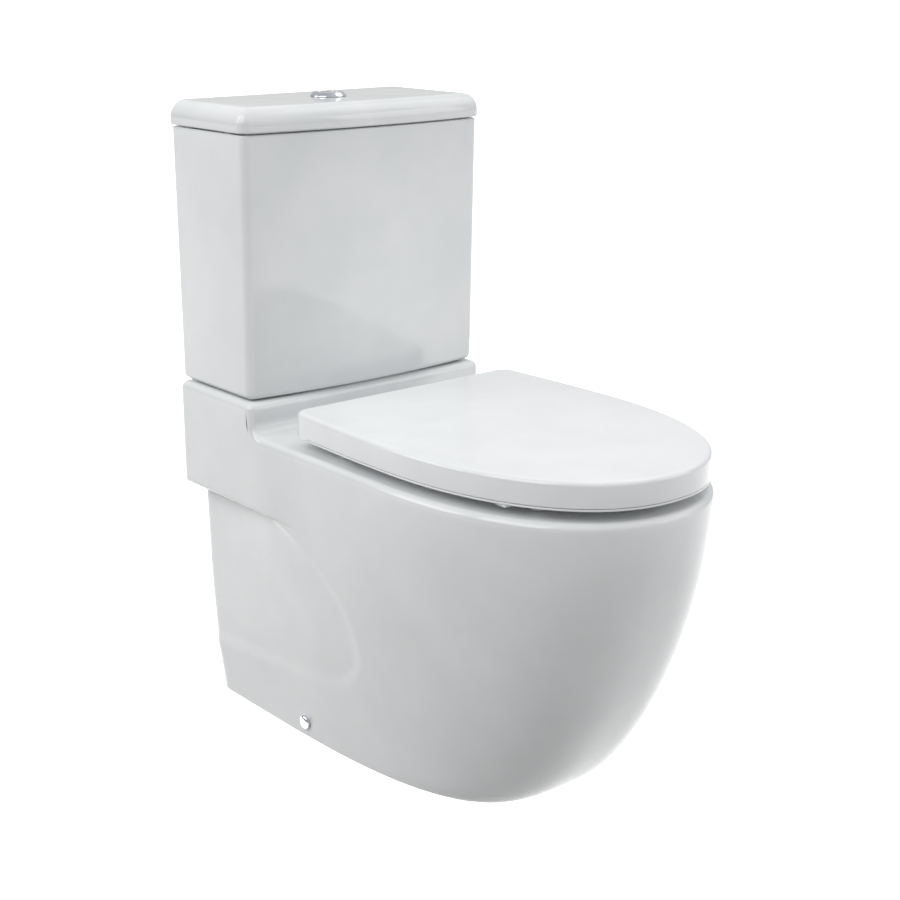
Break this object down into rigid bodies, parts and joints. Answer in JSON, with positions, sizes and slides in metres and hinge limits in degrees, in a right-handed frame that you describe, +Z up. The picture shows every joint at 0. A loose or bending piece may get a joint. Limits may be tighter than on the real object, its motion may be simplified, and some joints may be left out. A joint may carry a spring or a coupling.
{
  "type": "close coupled toilet",
  "caption": "Close coupled toilet with a back to wall ceramic pan, a bow fronted cistern with a loose lid and dual flush button, and a hinged seat and cover.",
  "frame": {"origin": "on the floor, at the middle of the overall width and depth", "axes": "+Z up, +Y towards the wall behind the toilet, -Y towards the user, +X to the right of someone facing the wall"},
  "size_m": [0.374, 0.7052, 0.8055],
  "materials": {
    "ceramic": "glazed vitreous china, cool white, glossy",
    "seat_plastic": "moulded duroplast, polished white",
    "white_plastic": "moulded white polypropylene",
    "grey_plastic": "moulded grey ABS",
    "blue_plastic": "moulded blue polypropylene",
    "chrome": "bright chrome plate",
    "steel": "bright zinc plated steel",
    "brass": "plain brass",
    "rubber": "black EPDM rubber",
    "soft_white": "soft translucent white elastomer",
    "foam": "closed cell foam strip"
  },
  "bodies": {
    "toilet": {"pan": "ceramic", "cistern": "ceramic", "cistern_pad_left": "foam", "cistern_pad_right": "foam", "lid_bumper_rear_left": "soft_white", "lid_bumper_rear_right": "soft_white", "lid_bumper_front_left": "soft_white", "lid_bumper_front_right": "soft_white", "flush_valve_base": "white_plastic", "flush_valve_cage": "grey_plastic", "valve_washer": "rubber", "valve_backnut": "white_plastic", "coupling_gasket": "rubber", "fill_valve_body": "white_plastic", "fill_valve_washer": "rubber", "fill_valve_backnut": "white_plastic", "coupling_washer_left": "rubber", "coupling_washer_right": "rubber", "coupling_bolt_left": "steel", "coupling_bolt_right": "steel", "coupling_nut_left": "brass", "coupling_nut_right": "brass", "hinge_post_left": "chrome", "hinge_post_right": "chrome", "hinge_stud_left": "steel", "hinge_stud_right": "steel", "hinge_washer_left": "rubber", "hinge_washer_right": "rubber", "hinge_nut_left": "white_plastic", "hinge_nut_right": "white_plastic", "hinge_pin_left": "grey_plastic", "hinge_pin_right": "grey_plastic", "floor_bracket_left": "white_plastic", "floor_bracket_right": "white_plastic", "foot_screw_left": "steel", "foot_screw_right": "steel", "foot_cap_left": "chrome", "foot_cap_right": "chrome"},
    "lid": {"cistern_lid": "ceramic", "button_bezel": "chrome", "button_nut": "white_plastic"},
    "full_button": {"button_full": "chrome", "push_rod_full": "white_plastic"},
    "half_button": {"button_half": "chrome", "push_rod_half": "white_plastic"},
    "flush_core": {"overflow_tube": "blue_plastic", "valve_seal": "rubber"},
    "float": {"fill_valve_float": "grey_plastic", "float_rod": "brass"},
    "float_lever": {"fill_valve_lever": "white_plastic"},
    "seat": {"seat_ring": "seat_plastic", "seat_buffer_rear_left": "soft_white", "seat_buffer_rear_right": "soft_white", "seat_buffer_front_left": "soft_white", "seat_buffer_front_right": "soft_white"},
    "cover": {"seat_cover": "seat_plastic", "cover_buffer_left": "soft_white", "cover_buffer_right": "soft_white"}
  },
  "joints": [
    {"name": "seat_hinge", "type": "hinge", "parent": "toilet", "child": "seat", "pos_m": [0, 0.1026, 0.4295], "axis": [-1, 0, 0], "range_deg": [0, 95]},
    {"name": "cover_hinge", "type": "hinge", "parent": "seat", "child": "cover", "pos_m": [0, 0.1026, 0.4295], "axis": [1, 0, 0], "range_deg": [-95, 0]},
    {"name": "lid_lift", "type": "slide", "parent": "toilet", "child": "lid", "axis": [0, 0, 1], "range_m": [0, 0.15]},
    {"name": "full_flush_press", "type": "slide", "parent": "lid", "child": "full_button", "axis": [0, 0, -1], "range_m": [0, 0.005], "stiffness_N_per_m": 400, "springref_m": -0.01},
    {"name": "half_flush_press", "type": "slide", "parent": "lid", "child": "half_button", "axis": [0, 0, -1], "range_m": [0, 0.005], "stiffness_N_per_m": 400, "springref_m": -0.01},
    {"name": "flush_core_lift", "type": "slide", "parent": "toilet", "child": "flush_core", "axis": [0, 0, 1], "range_m": [0, 0.012]},
    {"name": "float_rise", "type": "slide", "parent": "toilet", "child": "float", "axis": [0, 0, 1], "range_m": [0, 0.018]},
    {"name": "float_lever_turn", "type": "hinge", "parent": "toilet", "child": "float_lever", "pos_m": [0.135, 0.2691, 0.724], "axis": [0, 1, 0], "range_deg": [0, 31.5]}
  ],
  "couplings": [
    {"joint": "flush_core_lift", "follows": "full_flush_press", "ratio": 2.4},
    {"joint": "float_lever_turn", "follows": "float_rise", "rad_per_m": 30.3}
  ]
}
